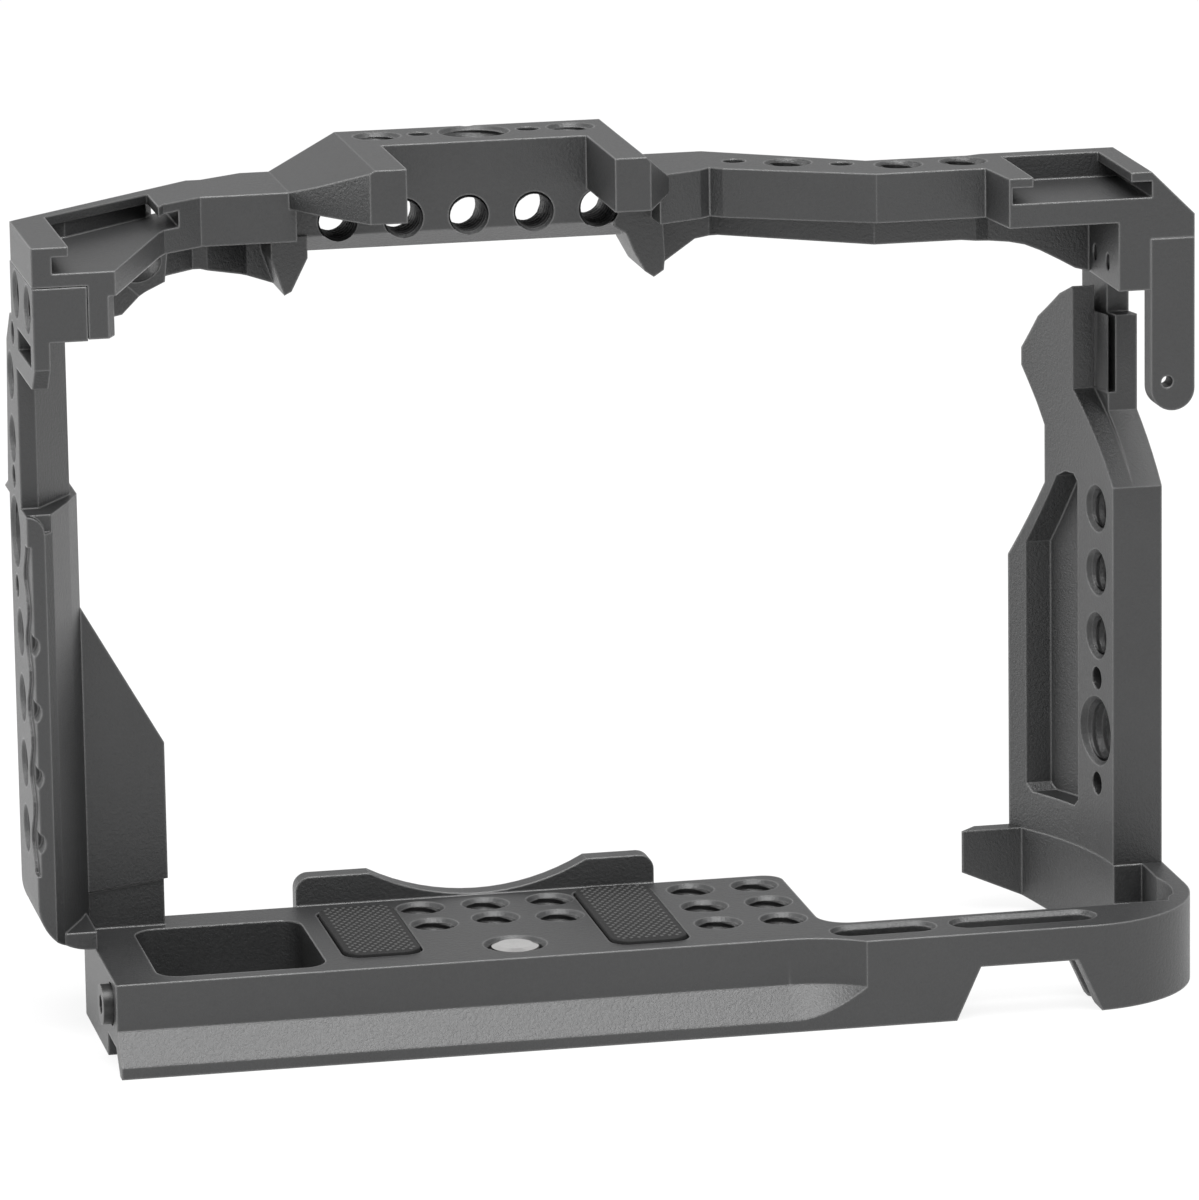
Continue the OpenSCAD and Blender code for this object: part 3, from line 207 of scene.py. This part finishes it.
def studded_rubber(highlight_above):
    """Black rubber, smoother up the studs from the given level, where the stud tops also carry a painted
    highlight of lighter colour.
    """
    f = Finish("pad_rubber", Metallic=0.0, IOR=1.4)
    where = f.place()
    fine = f.noise(where, scale=1800)
    highlight_per_metre = 9000.0
    # Mask of the stud tops above the given level, for the painted highlight and a lower roughness
    stud_top_highlight = ((f.along(where, "Z") - highlight_above)*highlight_per_metre).at_least(0.0).at_most(1.0)
    rubber = f.blend(fine, grey(0.004), grey(0.012))
    # Painted highlight: the stud tops get a lighter colour
    f.feed("Base Color", f.blend(stud_top_highlight, rubber, grey(0.06)))
    f.feed("Roughness", 0.62 + fine*0.2 - stud_top_highlight*0.2)
    f.bump(fine, distance=0.05*MM, strength=0.4)
    return f.material


def turned_metal(name, tone, rough, warm=0.01):
    """Metal turned on a lathe: fine rings round the camera screw's axis, which is the frame's Z."""
    f = Finish(name, Metallic=1.0)
    where = f.place()
    x, y = f.along(where, "X"), f.along(where, "Y")
    far = (x*x + y*y)**0.5
    rings_per_metre = 52000.0
    rings = f.node("ShaderNodeMath", {0: far*rings_per_metre}, operation="SINE")
    blotch = f.noise(where, scale=420, detail=3)
    f.feed("Base Color", f.blend(blotch, grey(tone*0.86, warm), grey(tone*1.08, warm)))
    f.feed("Roughness", rough + blotch*0.1)
    f.bump(rings*0.5 + 0.5, distance=0.008*MM, strength=0.5)
    return f.material


def oxide_steel():
    """Blackened steel of the small screws and dowels."""
    f = Finish("black_oxide", Metallic=0.5)
    where = f.place()
    soft, edge = eased_normal(f, 0.2*MM)
    grain = f.noise(where, scale=2200, detail=3)
    # Painted highlight: the base colour turns lighter along the edges
    f.feed("Base Color", f.blend(edge*0.7, f.blend(grain, grey(0.016), grey(0.04)), grey(0.2)))
    f.feed("Roughness", 0.3 + grain*0.14)
    f.bump(grain, distance=0.03*MM, strength=0.35, under=soft)
    return f.material


def nylon():
    """White nylon of the washer."""
    f = Finish("white_nylon", Metallic=0.0, IOR=1.53)
    where = f.place()
    fine = f.noise(where, scale=700, detail=3)
    f.feed("Base Color", f.blend(fine, grey(0.68, 0.02), grey(0.8, 0.02)))
    f.feed("Roughness", 0.42 + fine*0.12)
    f.bump(fine, distance=0.03*MM, strength=0.3)
    return f.material


FILM = anodised("black_anodised", tone=0.018, edge_highlight_tone=0.15)
RUBBER = studded_rubber(highlight_above=12.47*MM)
STEEL = turned_metal("bright_steel", tone=0.72, rough=0.16)
OXIDE = oxide_steel()
NYLON = nylon()
FINISH_OF = {
    "black_anodised": FILM,
    "black_steel": OXIDE,
    "bright_steel": STEEL,
    "white_nylon": NYLON,
}

# Mesh helpers


def deselect():
    if bpy.context.object and bpy.context.object.mode != "OBJECT":
        bpy.ops.object.mode_set(mode="OBJECT")
    bpy.ops.object.select_all(action="DESELECT")


def pick(obj):
    deselect()
    obj.select_set(True)
    bpy.context.view_layer.objects.active = obj


def named(name):
    obj = bpy.context.object
    obj.name = name
    obj.data.name = name
    return obj


def settle(obj):
    """Puts the object's place and size into its mesh."""
    pick(obj)
    bpy.ops.object.transform_apply(location=True, rotation=True, scale=True)


def choose(obj, kind, items, test):
    """Goes into edit mode with only the mesh's items selected that pass the test."""
    pick(obj)
    bpy.ops.object.mode_set(mode="EDIT")
    bpy.ops.mesh.select_mode(type=kind)
    bpy.ops.mesh.select_all(action="DESELECT")
    bpy.ops.object.mode_set(mode="OBJECT")
    for item in items:
        item.select = test(item)
    bpy.ops.object.mode_set(mode="EDIT")


def done():
    bpy.ops.object.mode_set(mode="OBJECT")


def trim(obj, level, side):
    """Cuts off what lies beyond a level, above it where side is 1 and below it where side is -1."""
    pick(obj)
    bpy.ops.object.mode_set(mode="EDIT")
    bpy.ops.mesh.select_all(action="SELECT")
    bpy.ops.mesh.bisect(plane_co=(0, 0, level), plane_no=(0, 0, side), clear_outer=True)
    done()


def apply(obj, kind, **settings):
    pick(obj)
    modifier = obj.modifiers.new(kind.lower(), kind)
    for setting, value in settings.items():
        setattr(modifier, setting, value)
    bpy.ops.object.modifier_apply(modifier=modifier.name)


def smooth(obj, degrees):
    pick(obj)
    bpy.ops.object.shade_smooth_by_angle(angle=math.radians(degrees))


def paint(obj, material):
    obj.data.materials.clear()
    obj.data.materials.append(material)


def twin(obj, place, name):
    """A copy with its own mesh, moved by a matrix."""
    copy = obj.copy()
    copy.data = obj.data.copy()
    copy.name = name
    bpy.context.scene.collection.objects.link(copy)
    copy.data.transform(place)
    return copy


def joined(objects, name):
    deselect()
    for obj in objects:
        obj.select_set(True)
    bpy.context.view_layer.objects.active = objects[0]
    bpy.ops.object.join()
    return named(name)


# Machined pieces keep the CAD's shape

for part in RECORD["subparts"]:
    if part["material_slot"] in FINISH_OF:
        paint(frame["nodes"][part["node"]], FINISH_OF[part["material_slot"]])

# Threads

# The base's far row of holes opens into the dovetail groove below GROOVE_TOP
GROOVE_WALL, GROOVE_TOP, HOLE_TOP = 22.6*MM, 9.1*MM, 11.45*MM
# Numbers without MM are in millimetres, as in the record's mounts
QUARTER_R, QUARTER_PITCH, QUARTER_REACH = 2.75, 1.27, 0.34
LARGE_PITCH, LARGE_REACH = 1.5875, 0.42
SUNK_IN_WALL = 0.03
TURN_STEPS = 28
THREAD_SMOOTH = 40
LEFT_ROW_X, LEFT_ROW_Y, LEFT_ROW_Z, LEFT_ROW_LENGTH = -60.4, 17.2, (28, 37, 46, 55), 4.4
STRUT_X, STRUT_Y, STRUT_Z, STRUT_LENGTH = -60.9, 19.4, (81, 89.6), 3.4
SHANK_ROOT, SHANK_CREST, SHANK_THREAD, SHANK_TIP = 3.14*MM, 3.4*MM, 2.2*MM, 0.45*MM


def thread(name, root, crest, pitch, length):
    """A helical ridge from the wall of a bore inwards, or from a shank outwards, centred on the origin."""
    reach = abs(root - crest)
    deselect()
    bpy.ops.mesh.primitive_plane_add(size=math.sqrt(2), location=(root, 0, 0),
                                     rotation=(math.pi/2, math.pi/4, 0))
    ridge = named(name)
    bpy.ops.object.transform_apply(location=False, rotation=True, scale=False)
    ridge.scale = (reach, 1, pitch/2)
    settle(ridge)
    outer = max if crest < root else min
    edge_x = outer(v.co.x for v in ridge.data.vertices)
    choose(ridge, "VERT", ridge.data.vertices, lambda v: abs(v.co.x - edge_x) < reach/4)
    bpy.ops.mesh.delete(type="VERT")
    done()
    turns = math.ceil(length/pitch) + 2
    apply(ridge, "SCREW", axis="Z", angle=2*math.pi, screw_offset=pitch, iterations=turns,
          steps=TURN_STEPS, render_steps=TURN_STEPS, use_merge_vertices=True, use_smooth_shade=True)
    trim(ridge, pitch, -1)
    trim(ridge, pitch + length, 1)
    ridge.data.transform(Matrix.Translation((0, 0, -pitch - length/2)))
    return ridge


def threaded_holes():
    """Plate, middle and axis of every threaded hole, with its radius and length in mm."""
    for mount in RECORD["mounts"]:
        if mount["kind"] != "threaded_hole":
            continue
        radius, length = mount["dims"]["r_mm"], mount["dims"]["length_mm"]
        middle = Vector(mount["pos_m"])
        plate = "_".join(mount["name"].split("_")[:2])
        if plate.startswith("base") and middle.y + radius*MM > GROOVE_WALL:
            length = (HOLE_TOP - GROOVE_TOP)/MM
            middle.z = (HOLE_TOP + GROOVE_TOP)/2
        yield plate, middle, Vector(mount["axis"]), radius, length
    outwards = Vector((-1, 0, 0))
    for z in LEFT_ROW_Z:
        yield "left_row", Vector((LEFT_ROW_X, LEFT_ROW_Y, z))*MM, outwards, QUARTER_R, LEFT_ROW_LENGTH
    for z in STRUT_Z:
        yield "left_strut", Vector((STRUT_X, STRUT_Y, z))*MM, outwards, QUARTER_R, STRUT_LENGTH


def cut_threads():
    plates = {}
    patterns = {}
    for plate, middle, axis, radius, length in threaded_holes():
        key = (radius, round(length, 2))
        if key not in patterns:
            quarter = radius <= QUARTER_R
            pitch = QUARTER_PITCH if quarter else LARGE_PITCH
            reach = QUARTER_REACH if quarter else LARGE_REACH
            patterns[key] = thread("pattern_%d" % len(patterns), (radius + SUNK_IN_WALL)*MM,
                                   (radius - reach)*MM, pitch*MM, length*MM)
        turn = Vector((0, 0, 1)).rotation_difference(axis).to_matrix().to_4x4()
        rings = plates.setdefault(plate, [])
        place = Matrix.Translation(middle) @ turn
        rings.append(twin(patterns[key], place, "%s_%d" % (plate, len(rings))))
    for plate, rings in plates.items():
        piece = joined(rings, "threads_" + plate)
        smooth(piece, THREAD_SMOOTH)
        paint(piece, FILM)
        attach(piece, "cage")
    for pattern in patterns.values():
        bpy.data.objects.remove(pattern)


def screw_thread():
    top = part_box("camera_screw")[1].z
    ridge = thread("camera_screw_thread", SHANK_ROOT, SHANK_CREST, QUARTER_PITCH*MM, SHANK_THREAD)
    ridge.data.transform(Matrix.Translation((0, 0, top - SHANK_TIP - SHANK_THREAD/2)))
    smooth(ridge, THREAD_SMOOTH)
    paint(ridge, STEEL)
    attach(ridge, "screw")


cut_threads()
screw_thread()

# Rubber pads

PAD_CORNER, PAD_SOFT_EDGE, PAD_SMOOTH = 2.6*MM, 0.22*MM, 50
STUD_R, STUD_H, STUD_BELOW_TOP, STUD_SUNK = 0.34*MM, 0.15*MM, 0.14*MM, 0.01*MM
STUD_STEP_X, STUD_STEP_Y = 1.05*MM, 1.75*MM
STUD_MARGIN = 0.55*MM
COLUMNS = 20


def pad_slab(name, low, high):
    """A moulded pad: a slab with round corners in plan and a soft upper edge."""
    size = high - low
    deselect()
    bpy.ops.mesh.primitive_cube_add(size=1, location=(low + high)/2)
    slab = named(name)
    slab.scale = size
    settle(slab)

    def upright(edge):
        first, second = (slab.data.vertices[i].co for i in edge.vertices)
        return abs((first - second).z) > size.z*0.9

    choose(slab, "EDGE", slab.data.edges, upright)
    bpy.ops.mesh.bevel(offset=PAD_CORNER, segments=8)
    done()
    choose(slab, "FACE", slab.data.polygons, lambda face: face.normal.z > 0.9)
    bpy.ops.mesh.bevel(offset=PAD_SOFT_EDGE, segments=3)
    done()
    return slab


def stud(foot):
    """One raised dot of the pad's grip pattern, the upper half of a flattened ball."""
    deselect()
    bpy.ops.mesh.primitive_uv_sphere_add(segments=8, ring_count=4, radius=1, location=(0, 0, 0))
    dot = named("stud_pattern")
    dot.scale = (STUD_R, STUD_R, STUD_H)
    settle(dot)
    trim(dot, 0, -1)
    dot.data.transform(Matrix.Translation((0, 0, foot)))
    return dot


def stud_places(half):
    """Places of the studs in staggered rows, inside the pad's rounded outline."""
    rows = int(2*half.y/(STUD_STEP_Y/2)) + 1
    for row in range(-rows//2, rows//2 + 1):
        y = row*STUD_STEP_Y/2
        shift = (row % 2)*STUD_STEP_X/2
        for column in range(-COLUMNS, COLUMNS + 1):
            x = column*STUD_STEP_X + shift
            past_x = max(abs(x) - (half.x - PAD_CORNER), 0)
            past_y = max(abs(y) - (half.y - PAD_CORNER), 0)
            beside = abs(x) > half.x - STUD_MARGIN or abs(y) > half.y - STUD_MARGIN
            if not beside and math.hypot(past_x, past_y) <= PAD_CORNER - STUD_MARGIN:
                yield x, y


def grip_pad(node):
    low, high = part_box(node)
    top = high.z - STUD_BELOW_TOP
    slab = pad_slab(node + "_moulded", low, Vector((high.x, high.y, top)))
    dot = stud(top - STUD_SUNK)
    middle = (low + high)/2
    dots = [twin(dot, Matrix.Translation((middle.x + x, middle.y + y, 0)), "stud")
            for x, y in stud_places((high - low)/2)]
    piece = joined([slab] + dots, node + "_moulded")
    bpy.data.objects.remove(dot)
    smooth(piece, PAD_SMOOTH)
    paint(piece, RUBBER)
    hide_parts(node)
    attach(piece, "cage")


for pad in ("pad_left", "pad_right"):
    grip_pad(pad)

# Studio

FLOOR_SIZE, FLOOR_DROP = 24, 0.05*MM
PAPER_SEEN, PAPER_IN_GLOSS = 0.86, 0.6
WORLD_LIGHT = 0.66


def pale_paper():
    """Pale paper that the camera and reflections see as white, and that still takes the shadow."""
    pale = Finish("studio_paper", Base_Color=grey(0.86), Roughness=0.9, Metallic=0.0)
    pale.bump(pale.noise(pale.place(), scale=900), distance=0.04*MM, strength=0.2)
    seen = pale.node("ShaderNodeLightPath", out="Is Camera Ray")
    mirrored = pale.node("ShaderNodeLightPath", out="Is Glossy Ray")
    through = pale.node("ShaderNodeLightPath", out="Is Transmission Ray")
    white = pale.node("ShaderNodeEmission", {"Color": (1, 1, 1, 1), "Strength": 1.0})
    mixed = pale.node("ShaderNodeMixShader", {0: seen*PAPER_SEEN + mirrored*PAPER_IN_GLOSS + through})
    mixer = mixed.socket.node
    pale.tree.links.new(pale.shader.outputs[0], mixer.inputs[1])
    pale.tree.links.new(white.socket, mixer.inputs[2])
    pale.tree.links.new(mixed.socket, pale.end.inputs["Surface"])
    return pale.material


def studio_floor():
    deselect()
    bpy.ops.mesh.primitive_plane_add(size=FLOOR_SIZE, location=(0, 0, -FLOOR_DROP))
    floor = named("studio_floor")
    settle(floor)
    paint(floor, pale_paper())


def studio_world():
    """White where the camera looks, and a plain soft light on the object."""
    world = bpy.data.worlds.new("studio_world")
    bpy.context.scene.world = world
    world.use_nodes = True
    tree = world.node_tree
    tree.nodes.clear()
    path = tree.nodes.new("ShaderNodeLightPath")
    mix = tree.nodes.new("ShaderNodeMixShader")
    end = tree.nodes.new("ShaderNodeOutputWorld")
    tree.links.new(path.outputs["Is Camera Ray"], mix.inputs[0])
    for slot, strength in ((1, WORLD_LIGHT), (2, 1.0)):
        back = tree.nodes.new("ShaderNodeBackground")
        back.inputs["Color"].default_value = (1, 1, 1, 1)
        back.inputs["Strength"].default_value = strength
        tree.links.new(back.outputs[0], mix.inputs[slot])
    tree.links.new(mix.outputs[0], end.inputs["Surface"])


def softbox(name, place, target, width, height, watts):
    data = bpy.data.lights.new(name, "AREA")
    data.shape = "RECTANGLE"
    data.size, data.size_y = width, height
    data.energy = watts
    lamp = bpy.data.objects.new(name, data)
    bpy.context.scene.collection.objects.link(lamp)
    place, target = Vector(place), Vector(target)
    facing = (place - target).to_track_quat("Z", "Y").to_matrix().to_4x4()
    lamp.matrix_world = Matrix.Translation(place) @ facing


studio_floor()
studio_world()
softbox("top_softbox", (0.0, -0.45, 1.25), (0, 0, 0.04), width=1.2, height=0.9, watts=30)
softbox("left_softbox", (-1.3, 0.5, 0.45), (0, 0, 0.06), width=1.2, height=1.0, watts=12)
bpy.context.scene.view_settings.view_transform = "Standard"
